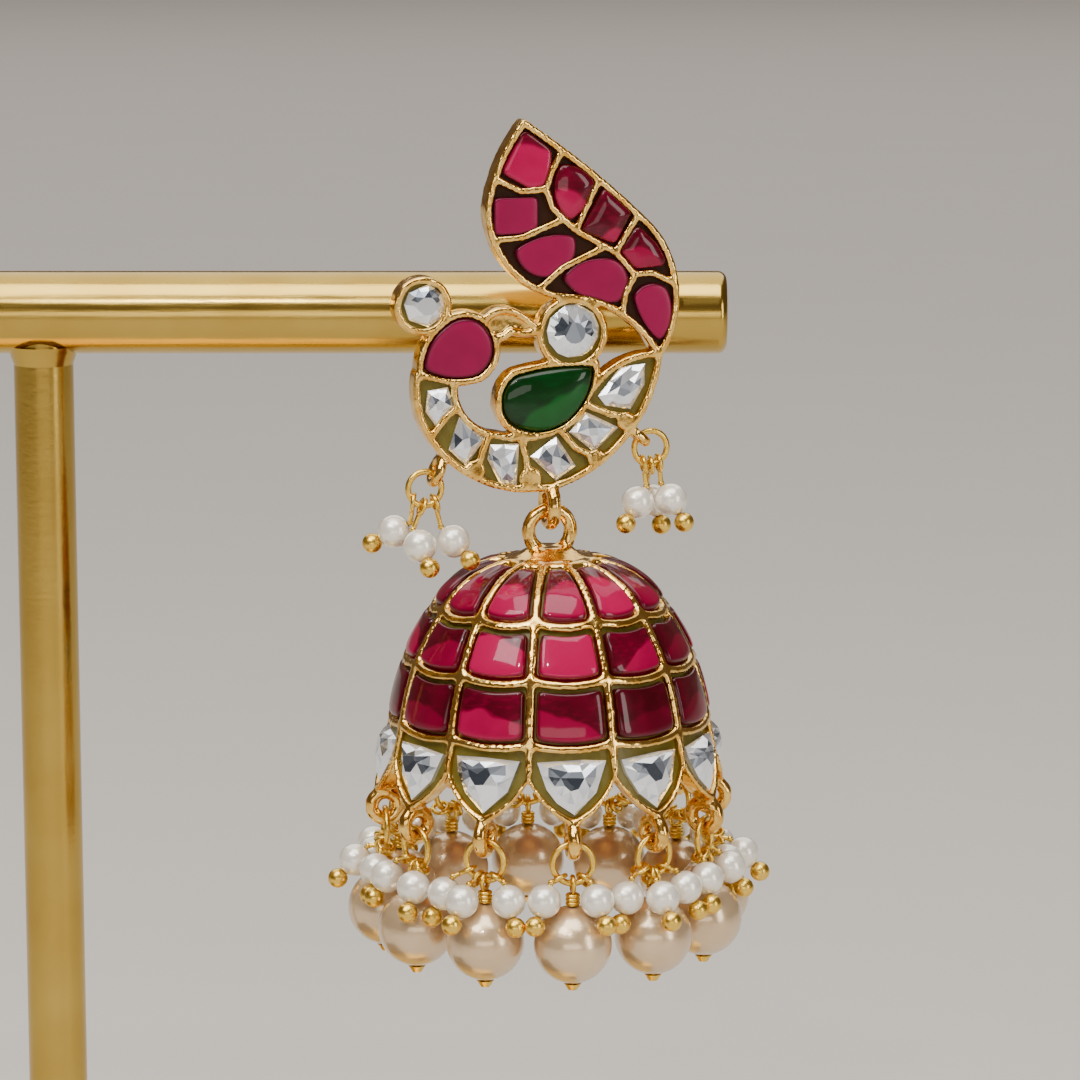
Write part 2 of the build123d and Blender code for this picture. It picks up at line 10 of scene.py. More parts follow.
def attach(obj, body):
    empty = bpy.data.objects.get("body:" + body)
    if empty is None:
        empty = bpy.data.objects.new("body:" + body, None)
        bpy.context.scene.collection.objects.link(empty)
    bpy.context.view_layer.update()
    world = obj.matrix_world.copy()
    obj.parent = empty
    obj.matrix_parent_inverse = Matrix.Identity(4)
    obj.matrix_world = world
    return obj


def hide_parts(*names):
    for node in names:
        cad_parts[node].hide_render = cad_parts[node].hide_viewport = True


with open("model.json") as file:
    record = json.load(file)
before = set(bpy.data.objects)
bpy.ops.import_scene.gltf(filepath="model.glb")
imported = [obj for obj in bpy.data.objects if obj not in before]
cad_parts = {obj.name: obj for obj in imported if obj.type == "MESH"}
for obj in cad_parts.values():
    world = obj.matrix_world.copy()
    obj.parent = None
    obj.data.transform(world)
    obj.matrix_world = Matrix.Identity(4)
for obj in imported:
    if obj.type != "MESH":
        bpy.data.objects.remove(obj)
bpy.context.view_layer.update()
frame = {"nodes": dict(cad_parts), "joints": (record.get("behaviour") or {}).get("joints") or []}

# ---- Camera -----------------------------------------------------------------
# A long lens a third of a metre in front of the earring. It stands a little higher and
# looks down, so that the shoulder of the bell shows.
MM = 0.001
TILT = math.radians(10.3)
AIM = Vector((39.25, -7.0, 83.0)) * MM
AWAY = 335.4 * MM
lens = bpy.data.cameras.new("camera")
lens.lens, lens.sensor_width = 143.33, 36
lens.clip_start, lens.clip_end = 0.01, 50
camera = bpy.data.objects.new("camera", lens)
camera.location = AIM - AWAY * Vector((0, math.cos(TILT), -math.sin(TILT)))
camera.rotation_euler = (math.pi / 2 - TILT, 0, 0)
bpy.context.scene.collection.objects.link(camera)
bpy.context.scene.camera = camera


# ---- Floor ------------------------------------------------------------------
# A wide sheet of matt studio paper, pale and almost even in colour. It lies flat and
# the stand rests on it.
class Value:
    """One output of a shader node. A sum on it adds a Math node."""

    def __init__(self, finish, socket):
        self.finish, self.socket = finish, socket

    def sum(self, operation, *terms):
        settings, inputs = {"operation": operation}, dict(enumerate(terms))
        return self.finish.node("ShaderNodeMath", settings, inputs)

    def __add__(self, other):
        return self.sum("ADD", self, other)

    def __sub__(self, other):
        return self.sum("SUBTRACT", self, other)

    def __rsub__(self, other):
        return self.sum("SUBTRACT", other, self)

    def __mul__(self, other):
        return self.sum("MULTIPLY", self, other)

    __radd__, __rmul__ = __add__, __mul__

    def within(self, low, high):
        """0 up to low, 1 from high on, and a soft rise between."""
        settings = {"interpolation_type": "SMOOTHSTEP"}
        inputs = {"Value": self, "From Min": low, "From Max": high}
        return self.finish.node("ShaderNodeMapRange", settings, inputs)


class Finish:
    """A material. What is the same all over is set on its shader's own sockets. What
    changes over the surface is fed to them."""

    def __init__(self, name, **constants):
        self.material = bpy.data.materials.new(name)
        self.material.use_nodes = True
        self.tree = self.material.node_tree
        self.shader = self.tree.nodes["Principled BSDF"]
        for socket, value in constants.items():
            self.shader.inputs[socket.replace("_", " ")].default_value = value

    def node(self, kind, settings, inputs, output=0):
        """An output of a new node. Its settings come before its sockets' values."""
        made = self.tree.nodes.new(kind)
        for name, value in settings.items():
            if name == "stops":
                stops = made.color_ramp.elements
                while len(stops) < len(value):
                    stops.new(0.5)
                for stop, (place, colour) in zip(stops, value):
                    stop.position, stop.color = place, (*colour, 1)
            else:
                setattr(made, name, value)
        for name, value in inputs.items():
            self.plug(made.inputs[name], value)
        return Value(self, made.outputs[output])

    def plug(self, socket, value):
        if isinstance(value, Value):
            self.tree.links.new(value.socket, socket)
        elif socket.type == "RGBA" and len(value) == 3:
            socket.default_value = (*value, 1)
        else:
            socket.default_value = value

    def feed(self, socket, value):
        self.plug(self.shader.inputs[socket], value)

    def mix(self, share, first, second):
        """A colour between first and second. A Mix node's colours go by number."""
        inputs = {0: share, 6: first, 7: second}
        return self.node("ShaderNodeMix", {"data_type": "RGBA"}, inputs, output=2)

    def ramp(self, share, *stops):
        return self.node("ShaderNodeValToRGB", {"stops": stops}, {"Fac": share})

    def grain(self, size, detail=2, stretch=(1, 1, 1)):
        """Noise whose lumps are about size millimetres across."""
        spot = self.node("ShaderNodeTexCoord", {}, {}, "Object")
        inputs = {"Vector": spot, "Scale": [share / MM for share in stretch]}
        spot = self.node("ShaderNodeMapping", {}, inputs)
        inputs = {"Vector": spot, "Scale": 1 / size, "Detail": detail}
        return self.node("ShaderNodeTexNoise", {"noise_dimensions": "4D"}, inputs)

    def bump(self, height, depth):
        """Feed the Normal from height, which is depth millimetres from 0 to 1."""
        inputs = {"Height": height, "Distance": depth * MM}
        self.feed("Normal", self.node("ShaderNodeBump", {}, inputs))

    def cover(self, *nodes):
        """Give this finish to CAD nodes that show as they are."""
        for node in nodes:
            slots = frame["nodes"][node].data.materials
            slots.clear()
            slots.append(self.material)


def piece(name, points, faces, finish, body=None, slot=None, *nodes, smooth=True):
    """A mesh in the row frame. One with a body rides on it and stands for CAD nodes."""
    mesh = bpy.data.meshes.new(name)
    mesh.from_pydata([tuple(p) for p in points], [], [tuple(f) for f in faces])
    if smooth:
        mesh.shade_smooth()
    else:
        mesh.shade_flat()
    mesh.materials.append(finish.material)
    made = bpy.data.objects.new(name, mesh)
    bpy.context.scene.collection.objects.link(made)
    if body:
        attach(made, body)
        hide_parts(*nodes)
    return made


FLOOR_HALF = 6.0
PAPER, DIMMER = (0.60, 0.575, 0.54), 0.96
paper = Finish("pale_floor", Roughness=0.75)
dim_paper = [part * DIMMER for part in PAPER]
paper.feed("Base Color", paper.mix(paper.grain(size=40), PAPER, dim_paper))
quarters = ((-1, -1), (1, -1), (1, 1), (-1, 1))
corners = [(x * FLOOR_HALF, y * FLOOR_HALF, 0) for x, y in quarters]
piece("floor", corners, [(0, 1, 2, 3)], paper)

# ---- Light ------------------------------------------------------------------
# Soft boxes hang above and stand round the piece, all turned to the earring. One small
# lamp makes the points of light on the stones, and a dim warm room fills the rest.
ROOM, ROOM_STRENGTH = (0.20, 0.15, 0.11, 1), 0.7
# lamp: place and size in millimetres, power in watts, and colour
LAMPS = {
    "top": ((30, -150, 590), (460, 330), 2.9, (1.0, 0.98, 0.95)),
    "key": ((-235, -335, 545), (280, 200), 1.8, (1.0, 0.97, 0.93)),
    "fill": ((430, -330, 190), (120, 300), 0.7, (1.0, 0.96, 0.9)),
    "front": ((40, -560, 125), (520, 120), 0.5, (1.0, 0.95, 0.86)),
    "point": ((-20, -330, 360), (12, 12), 0.2, (1.0, 1.0, 1.0)),
    "sky": ((0, 1300, 1900), (3000, 2600), 44, (1.0, 0.98, 0.95)),
}
for name, (place, size, power, colour) in LAMPS.items():
    lamp = bpy.data.lights.new(name, "AREA")
    lamp.shape = "RECTANGLE"
    lamp.size, lamp.size_y = size[0] * MM, size[1] * MM
    lamp.energy, lamp.color = power, colour
    box = bpy.data.objects.new(name, lamp)
    box.location = Vector(place) * MM
    box.rotation_euler = (AIM - box.location).to_track_quat("-Z", "Y").to_euler()
    bpy.context.scene.collection.objects.link(box)
studio = bpy.data.worlds.new("studio")
studio.use_nodes = True
room = studio.node_tree.nodes["Background"]
room.inputs["Color"].default_value = ROOM
room.inputs["Strength"].default_value = ROOM_STRENGTH
bpy.context.scene.world = studio

# ---- Stand ------------------------------------------------------------------
# A T-bar of polished brass tube, its bar and post brazed into one piece, on a flat
# brass plate with round corners. The brass is rubbed along the bar.
BRASS, BRASS_DEEP = (0.60, 0.42, 0.10), (0.42, 0.26, 0.045)
brass = Finish("polished_brass", Metallic=1.0)
rubbed = brass.grain(size=0.35, detail=6, stretch=(0.05, 1, 1))
brass.feed("Base Color", brass.mix(brass.grain(size=6, detail=3), BRASS, BRASS_DEEP))
brass.feed("Roughness", 0.12 + rubbed * 0.16)
brass.bump(rubbed, depth=0.012)
brass.cover("stand_frame", "stand_base")


# ---- Stud metal -------------------------------------------------------------
# One gilded plate with all that is soldered to it: cell walls, bezels, leaf, ear post,
# hook and side loops. The walls are worked by hand, so their edges are round and a
# little uneven. Shade is painted dark into the hollows, tinted orange as a painted
# reflection of the gold round them.
def welded(node):
    """A CAD node's points and triangles, with the points that coincide made one."""
    mesh = frame["nodes"][node].data
    mesh.calc_loop_triangles()
    points = np.empty(len(mesh.vertices) * 3)
    mesh.vertices.foreach_get("co", points)
    corners = np.empty(len(mesh.loop_triangles) * 3, int)
    mesh.loop_triangles.foreach_get("vertices", corners)
    rounded = np.round(points.reshape(-1, 3), 7)
    unique, which = np.unique(rounded, axis=0, return_inverse=True)
    faces = which.reshape(-1)[corners.reshape(-1, 3)]
    a, b, c = faces.T
    return unique, faces[(a != b) & (b != c) & (c != a)]


def through_modifier(points, faces, kind, **settings):
    """The points and triangles of a mesh after one modifier."""
    mesh = bpy.data.meshes.new("work")
    mesh.from_pydata(points.tolist(), [], faces.tolist())
    work = bpy.data.objects.new("work", mesh)
    bpy.context.scene.collection.objects.link(work)
    modifier = work.modifiers.new(kind.lower(), kind)
    for name, value in settings.items():
        setattr(modifier, name, value)
    done = work.evaluated_get(bpy.context.evaluated_depsgraph_get()).to_mesh()
    done.calc_loop_triangles()
    out = np.empty(len(done.vertices) * 3)
    done.vertices.foreach_get("co", out)
    corners = np.empty(len(done.loop_triangles) * 3, int)
    done.loop_triangles.foreach_get("vertices", corners)
    bpy.data.objects.remove(work)
    return out.reshape(-1, 3), corners.reshape(-1, 3)


def soften(points, faces, passes):
    """Round a fine mesh's edges: each point moves half way to its neighbours."""
    start, end = faces.T.ravel(), np.roll(faces, -1, axis=1).T.ravel()
    count = np.maximum(np.bincount(start, minlength=len(points)), 1)
    for _ in range(passes):
        middle = np.stack([
            np.bincount(start, points[end, axis], len(points)) / count
            for axis in range(3)
        ], axis=1)
        points = points + 0.5 * (middle - points)
    return points


def point_normals(points, faces):
    a, b, c = (points[faces[:, n]] for n in range(3))
    across = np.cross(b - a, c - a)
    total = np.stack([
        sum(np.bincount(faces[:, n], across[:, axis], len(points)) for n in range(3))
        for axis in range(3)
    ], axis=1)
    return total / np.maximum(np.linalg.norm(total, axis=1, keepdims=True), 1e-12)


# the waves of hand work, long and short, per millimetre, and the short ones' share
LONG_WAVES, SHORT_WAVES, SHORT_SHARE = 1.1, 3.1, 0.6


def hand_worked(node, voxel, passes, swell, wobble, most):
    """A CAD metal node with round, slightly uneven edges. It is remade from voxels,
    softened, and swollen back unevenly, with at most most triangles. voxel, swell and
    wobble are in millimetres, and the points it gives are in metres."""
    points, faces = welded(node)
    low, high = points.min(axis=0), points.max(axis=0)
    points, faces = through_modifier(
        points / MM, faces, "REMESH", mode="VOXEL", voxel_size=voxel
    )
    points = soften(points, faces, passes)
    normals = point_normals(points, faces)
    lift = np.array([
        swell
        + wobble * noise.noise(Vector(p) * LONG_WAVES)
        + wobble * SHORT_SHARE * noise.noise(Vector(p) * SHORT_WAVES)
        for p in points.tolist()
    ])
    points = points + normals * lift[:, None]
    if len(faces) > most:
        points, faces = through_modifier(
            points, faces, "DECIMATE", ratio=most / len(faces)
        )
    return np.clip(points * MM, low, high), faces


GILT, GILT_DEEP = (0.95, 0.63, 0.175), (0.74, 0.39, 0.065)
# painted shade for the hollows, tinted orange as a painted reflection of the gold
GILT_PAINTED_SHADE = (0.30, 0.10, 0.011)
gilt = Finish("cast_gilt", Metallic=1.0)
hammered = gilt.grain(size=1.1)
filed = gilt.grain(size=0.25)
# the hollows, where pointiness is low, take the painted shade colour
free_of_painted_shade = gilt.node("ShaderNodeNewGeometry", {}, {}, "Pointiness").within(0.40, 0.51)
worn = gilt.mix(hammered.within(0.35, 0.7), GILT, GILT_DEEP)
gilt.feed("Base Color", gilt.mix(free_of_painted_shade, GILT_PAINTED_SHADE, worn))
gilt.feed("Roughness", 0.08 + filed * 0.16)
gilt.bump(hammered * 0.7 + filed * 0.3, depth=0.04)
points, faces = hand_worked(
    "stud", voxel=0.125, passes=3, swell=0.075, wobble=0.03, most=190000
)
piece("stud_metal", points, faces, gilt, "root", "antique_gold", "stud")
gilt.cover("ear_nut")


# ---- Lac in the stud's cells ------------------------------------------------
# Olive lac is pressed warm into every cell round its stone, and shows as a dull
# margin between the stone and the wall. Under the wing's rubies it is painted nearly
# black, as painted shade with a dark maroon painted reflection of the rubies.
def solids(node):
    """The separate solids of a CAD node, each as points and triangles."""
    points, faces = welded(node)
    label = np.arange(len(points))
    while True:
        lowest = label[faces].min(axis=1)
        new = label.copy()
        for corner in range(3):
            np.minimum.at(new, faces[:, corner], lowest)
        new = new[new]
        if (new == label).all():
            break
        label = new
    found = []
    owner = label[faces[:, 0]]
    for group in np.unique(owner):
        used, which = np.unique(faces[owner == group], return_inverse=True)
        found.append((points[used], which.reshape(-1, 3)))
    return found


def store(made, name, kind, domain, values):
    """Keep values on a piece's mesh, where its finish reads them."""
    layer = made.data.attributes.new(name, kind, domain)
    field = "vector" if kind == "FLOAT_VECTOR" else "value"
    layer.data.foreach_set(field, np.array(values, dtype=np.float32).ravel())


def stored(finish, name, output="Fac"):
    return finish.node("ShaderNodeAttribute", {"attribute_name": name}, {}, output)


LAC, LAC_PALE = (0.115, 0.092, 0.010), (0.17, 0.14, 0.024)
# painted shade: the near black painted in the wing's cells, and how much of it
LAC_PAINTED_SHADE, PAINTED_SHADE_SHARE = (0.020, 0.001, 0.001), 0.94
# the wing's cells lie this far above the hook, and to the right of the crest
WING_FOOT, WING_LEFT = 14.6 * MM, -6 * MM
swing = frame["joints"][0]
PIVOT = np.array(swing["pos_m"])
ACROSS = np.array(swing["axis"]) / np.linalg.norm(swing["axis"])
lac = Finish("olive_lac", Coat_Roughness=0.25, Specular_IOR_Level=0.12)
burnt = stored(lac, "burnt")
smear = lac.grain(size=1.6, detail=3)
smeared = lac.mix(smear.within(0.3, 0.75), LAC, LAC_PALE)
lac.feed("Base Color", lac.mix(burnt, smeared, LAC_PAINTED_SHADE))
lac.feed("Roughness", 0.38 + smear * 0.25)
# the coat is taken off where shade is painted, so that it stays dark
lac.feed("Coat Weight", 0.3 - burnt * 0.3)
lac.bump(lac.grain(size=0.5, detail=3), depth=0.06)
points, faces, painted_shades = [], [], []
for cell, cell_faces in solids("stud_fill"):
    middle = cell.mean(axis=0) - PIVOT
    in_wing = middle[2] > WING_FOOT and middle @ ACROSS > WING_LEFT
    faces += (cell_faces + len(points)).tolist()
    points += cell.tolist()
    painted_shades += [PAINTED_SHADE_SHARE if in_wing else 0.0] * len(cell)
stud_lac = piece(
    "stud_lac", points, faces, lac, "root", "olive_lac", "stud_fill", smooth=False
)
store(stud_lac, "burnt", "FLOAT", "POINT", painted_shades)


# ---- Ruby stones of the wing and the head -----------------------------------
# Polished glass over pink foil, pushed into the lac: three domed stones down the wing's
# right edge, and flat tables elsewhere. The foil's light is painted into them in
# patches, with a painted glow.
# a face is on a pad's outside when the cosine of its lean from outwards is above this
FACING = 0.75


def rim_of(points, faces, out):
    """The closed edge of a pad's outer face, in order, anticlockwise from outside."""
    a, b, c = (points[faces[:, n]] for n in range(3))
    normals = np.cross(b - a, c - a)
    normals /= np.maximum(np.linalg.norm(normals, axis=1, keepdims=True), 1e-15)
    front = faces[normals @ out > FACING]
    edges = {(f[n], f[(n + 1) % 3]) for f in front for n in range(3)}
    follows = {start: end for start, end in edges if (end, start) not in edges}
    loops = []
    while follows:
        start, here = follows.popitem()
        loop = [start]
        while here != start and here in follows:
            loop.append(here)
            here = follows.pop(here)
        loops.append(loop)
    return points[max(loops, key=len)]


def even(loop, count):
    """The same closed line with count points, equally far apart."""
    closed = np.vstack([loop, loop[:1]])
    steps = np.linalg.norm(np.diff(closed, axis=0), axis=1)
    along = np.concatenate([[0], np.cumsum(steps)])
    places = np.linspace(0, along[-1], count, endpoint=False)
    return np.stack([np.interp(places, along, closed[:, n]) for n in range(3)], axis=1)


def eased(loop, passes):
    """The same closed line with its corners rounded."""
    for _ in range(passes):
        beside = np.roll(loop, 1, axis=0) + np.roll(loop, -1, axis=0)
        loop = loop * 0.5 + beside * 0.25
    return loop


def across_and_up(out):
    """The two directions over the face of a stone that faces out."""
    side = np.cross((0, 0, 1), out)
    side /= np.linalg.norm(side)
    return side, np.cross(out, side)


def foiled_glass(name, colours, painted_glow, coat, coat_roughness):
    """Coloured glass over foil, with the light off its foil painted into its colour and
    its glow. A stone's spot is how far across and up a point is, and how near the rim.
    Its painted light is how that painted foil light lies: how far it is turned, how
    bright it is painted, and how high the painted pool of light reaches."""
    glass = Finish(
        name, Roughness=0.3, IOR=1.15, Coat_Weight=coat, Coat_Roughness=coat_roughness,
        Emission_Strength=painted_glow,
    )
    spot, mood = stored(glass, "spot", "Vector"), stored(glass, "mood", "Vector")
    across, up, rim, turn, lit, reach = (
        glass.node("ShaderNodeSeparateXYZ", {}, {"Vector": vector}, axis)
        for vector in (spot, mood) for axis in "XYZ"
    )
    # painted light: the foil's light is painted bright below a wavy edge, and streaked and
    # cloudy above it
    ripple = (glass.grain(size=2.6, detail=1) - 0.5) * 0.9
    bend = up + across * across * 0.35 + across * turn + ripple - reach
    painted_pool = 1 - bend.within(-0.10, 0.08)
    streak = glass.grain(size=0.8, stretch=(1, 1, 2.6)).within(0.5, 0.62)
    cloud = glass.grain(size=1.9, detail=1).within(0.35, 0.7)
    shade = lit * (0.12 + painted_pool * 0.80) + cloud * 0.10 + streak * lit * 0.14 * (1 - painted_pool)
    # painted shade: the glass is painted darker along its rim, where the wall shades it
    shade = shade * (1 - rim.within(0.86, 1.0) * 0.75)
    dark, mid, bright = colours
    colour = glass.ramp(shade, (0.0, dark), (0.45, mid), (1.0, bright))
    glass.feed("Base Color", colour)
    # a painted glow: the stone glows in the colour of its painted light, though it is no lamp
    glass.feed("Emission Color", colour)
    glass.bump(glass.grain(size=1.6, detail=1), depth=0.025)
    return glass


# a stone's section from the rim inwards: how far in, and how high, both as shares
TABLE_CUT = (
    (0, -0.9), (0, 0.2), (0.015, 0.55), (0.04, 0.78), (0.08, 0.9),
    (0.14, 0.96), (0.3, 0.99), (0.5, 1), (0.7, 1), (0.85, 1),
)
DOMED_CUT = (
    (0, -0.9), (0, 0.1), (0.015, 0.3), (0.05, 0.48), (0.1, 0.62),
    (0.18, 0.75), (0.3, 0.87), (0.45, 0.94), (0.6, 0.98), (0.8, 1.0),
)
# the most that a stone's top is out of level either way, in millimetres
ASKEW = 0.05


def set_stones(name, stones, cut, height, finish, body, slot, *nodes):
    """Join stones, each a rim, its middle, its outward direction and its painted foil
    light, into one piece. height is from the rim to the top in millimetres."""
    points, faces, spots, painted_lights = [], [], [], []
    for rim, middle, out, mood in stones:
        side, rise = across_and_up(out)
        reach = [np.abs((rim - middle) @ way).max() for way in (side, rise)]
        tilt = random.uniform(-ASKEW, ASKEW), random.uniform(-ASKEW, ASKEW)
        first, count = len(points), len(rim)
        for inset, up in (*cut, (1, 1)):
            share = 1 - inset
            for place in rim if inset < 1 else [middle]:
                sunk = (place - middle) @ out
                flat = middle + (place - middle - out * sunk) * share
                flat = flat + out * sunk * share ** 2
                a = (flat - middle) @ side / reach[0]
                b = (flat - middle) @ rise / reach[1]
                lift = up * (height + tilt[0] * a + tilt[1] * b) * MM
                points.append(flat + out * lift)
                spots.append((a, b, share))
                painted_lights.append(mood)
        last = first + (len(cut) - 1) * count
        for ring in range(first, last, count):
            for n in range(count):
                a, b = ring + n, ring + (n + 1) % count
                faces.append((a, b, b + count, a + count))
        top = last + count
        faces += [(last + n, last + (n + 1) % count, top) for n in range(count)]
        faces.append([first + count - 1 - n for n in range(count)])
    made = piece(name, points, faces, finish, body, slot, *nodes)
    store(made, "spot", "FLOAT_VECTOR", "POINT", spots)
    store(made, "mood", "FLOAT_VECTOR", "POINT", painted_lights)


def stud_stone(node, count, grow):
    """The rim, middle and outward direction of one of the stud's stones, which is grown
    over its CAD outline and sunk in its cell."""
    points, faces = solids(node)[0]
    rim = eased(even(rim_of(points, faces, OUT), count), passes=2)
    middle = rim.mean(axis=0)
    sink = OUT * STUD_SINK * MM
    return middle + (rim - middle) * grow - sink, middle - sink, OUT


OUT = np.cross(ACROSS, (0, 0, 1))
# how deep the stud's stones are sunk, in millimetres, and the points round a ruby's rim
STUD_SINK, STUD_RIM_POINTS = 0.42, 64
# a glass's painted colours, lit and shaded copies of one glass, where its painted foil
# light is dark, between and bright
RUBY = (0.028, 0.0, 0.002), (0.14, 0.0, 0.017), (0.32, 0.0, 0.050)
DULL_RUBY = (0.028, 0.0, 0.002), (0.07, 0.0, 0.014), (0.215, 0.0, 0.042)
ruby = foiled_glass("ruby_glass", RUBY, painted_glow=0.45, coat=0.55, coat_roughness=0.05)
dull_ruby = foiled_glass(
    "dull_ruby_glass", DULL_RUBY, painted_glow=0.25, coat=0.4, coat_roughness=0.28
)
# node: section, height, growth, finish, and its painted foil light
STUD_RUBIES = {
    "wing_stone_1": (TABLE_CUT, 0.34, 1.06, ruby, (0.15, 1.0, 0.62)),
    "wing_stone_2": (DOMED_CUT, 0.62, 1.06, ruby, (0.25, 0.85, -0.10)),
    "wing_stone_3": (DOMED_CUT, 0.62, 1.06, ruby, (-0.45, 0.80, -0.45)),
    "wing_stone_4": (DOMED_CUT, 0.55, 1.06, ruby, (0.5, 0.62, 0.05)),
    "wing_stone_5": (TABLE_CUT, 0.34, 1.06, dull_ruby, (0.0, 1.0, 1.6)),
    "wing_stone_6": (TABLE_CUT, 0.34, 1.06, dull_ruby, (0.2, 1.05, 1.6)),
    "wing_stone_7": (TABLE_CUT, 0.34, 1.06, dull_ruby, (-0.2, 1.0, 1.6)),
    "wing_stone_8": (TABLE_CUT, 0.34, 1.06, dull_ruby, (0.1, 1.08, 1.6)),
    "head_stone": (TABLE_CUT, 0.40, 1.0, dull_ruby, (0.3, 1.0, 1.1)),
}
random.seed(7)
for node, (cut, height, grow, finish, mood) in STUD_RUBIES.items():
    stone = (*stud_stone(node, STUD_RIM_POINTS, grow), mood)
    set_stones(
        f"{node}_glass", [stone], cut, height, finish, "root", "ruby_glass", node
    )

# ---- Green drop -------------------------------------------------------------
# One domed drop of bottle-green glass, set in lac like the rubies. The light off its
# foil is painted as a lighter pool in its lower half, with a painted glow.
# painted light: the green's colours where its painted foil light is dark, between and bright
LEAF = (0.0, 0.012, 0.001), (0.0, 0.042, 0.005), (0.0, 0.11, 0.014)
green = foiled_glass("green_glass", LEAF, painted_glow=0.3, coat=0.55, coat_roughness=0.02)
GREEN_HEIGHT, GREEN_PAINTED_LIGHT = 0.75, (-0.7, 0.62, -0.22)
stone = (*stud_stone("green_stone", count=72, grow=1.0), GREEN_PAINTED_LIGHT)
set_stones(
    "green_drop", [stone], DOMED_CUT, GREEN_HEIGHT, green,
    "root", "emerald_glass", "green_stone",
)


# ---- Crystals of the stud ---------------------------------------------------
# Clear crystals with foil behind them, cut by hand: a small table in the middle, and
# facets from it to each corner. Each facet's flash of reflected light is painted into
# its colour, dark in a band across each crystal.
OUTLINE_POINTS = 72


def corners_of(loop, count):
    """The count points that keep most of a closed line's shape."""
    loop = list(even(loop, OUTLINE_POINTS))
    while len(loop) > count:
        after = loop[1:] + loop[:1]
        areas = [
            np.linalg.norm(np.cross(loop[n - 1] - here, after[n] - here))
            for n, here in enumerate(loop)
        ]
        loop.pop(int(np.argmin(areas)))
    return np.array(loop)


# how wide the belt and the ring of a crown are, and how high, as shares of the crystal
BELT_WIDTH, BELT_HEIGHT = 0.70, 0.62
RING_WIDTH, RING_HEIGHT = 0.80, 0.38


def cut_crown(points, faces, corners, middle, out, height, table):
    """Add the points and faces of a crystal, cut over its corners and their mids."""
    first, count = len(points), len(corners)
    mids = (corners + np.roll(corners, -1, axis=0)) / 2
    belt = middle + (corners - middle) * BELT_WIDTH + out * height * BELT_HEIGHT
    ring = middle + (mids - middle) * RING_WIDTH + out * height * RING_HEIGHT
    face = middle + (mids - middle) * table + out * height
    foot = corners - out * height
    points += [*corners, *mids, *belt, *ring, *face, *foot]
    c, m, b, r, t, f = (first + count * n for n in range(6))
    for n in range(count):
        k = (n + 1) % count
        faces += [
            (c + n, m + n, b + n), (m + n, c + k, b + k),
            (m + n, r + n, b + n), (m + n, b + k, r + n),
            (b + n, r + n, t + n), (r + n, b + k, t + n),
            (b + n, t + n, t + (n - 1) % count),
            (f + n, f + k, c + k, m + n, c + n),
        ]
    faces.append([t + n for n in range(count)])


# how bright a facet's painted flash of light is in the painted dark band and out of it,
# and the band's half width
DUSKY, BRIGHT = (0.0, 0.3), (0.4, 1.0)
BAND_HALF = 0.65


def set_crystals(name, stones, height, table, dusk, finish, body, slot, *nodes):
    """Join crystals, each its corners, its middle and its outward direction, into one
    piece. Each facet is given a painted flash of reflected light, darker in a painted
    band across each, between the two heights of dusk, which are shares of the
    crystal's reach."""
    points, faces, painted_flashes = [], [], []
    for corners, middle, out in stones:
        side, rise = across_and_up(out)
        reach = np.abs((corners - middle) @ rise).max()
        first = len(faces)
        cut_crown(points, faces, corners, middle, out, height * MM, table)
        for face in faces[first:]:
            spot = (np.mean([points[n] for n in face], axis=0) - middle) / reach
            in_band = dusk[0] < spot @ rise < dusk[1] and abs(spot @ side) < BAND_HALF
            painted_flashes.append(random.uniform(*(DUSKY if in_band else BRIGHT)))
    made = piece(name, points, faces, finish, body, slot, *nodes, smooth=False)
    store(made, "flash", "FLOAT", "FACE", painted_flashes)


# painted reflections: the colours that a facet's painted flash runs through
PAINTED_DARK_FLASH, PAINTED_GREY_FLASH = (0.07, 0.09, 0.125), (0.44, 0.50, 0.60)
PAINTED_WHITE_FLASH = (0.90, 0.95, 1.0)
SHARD = 1.4 * MM
foil = Finish("foiled_crystal", Metallic=0.65, Coat_Weight=1.0, Coat_Roughness=0.02)
spot = foil.node("ShaderNodeTexCoord", {}, {}, "Object")
inputs = {"Vector": spot, "Scale": 1 / SHARD}
# painted glints: Voronoi cells break each facet into shards of painted light
shards = foil.node("ShaderNodeTexVoronoi", {}, inputs, "Color")
shard = foil.node("ShaderNodeSeparateColor", {}, {"Color": shards})
glint = (stored(foil, "flash") * 0.9 + shard * 0.25).within(0.05, 0.8)
stops = (0.0, PAINTED_DARK_FLASH), (0.4, PAINTED_GREY_FLASH), (0.8, PAINTED_WHITE_FLASH)
foil.feed("Base Color", foil.ramp(glint, *stops))
foil.feed("Roughness", 0.06 + shard * 0.10)

# how deep the stud's crystals are sunk, and how high they are cut, in millimetres
CRYSTAL_SINK, CRYSTAL_HEIGHT = 0.35, 0.55
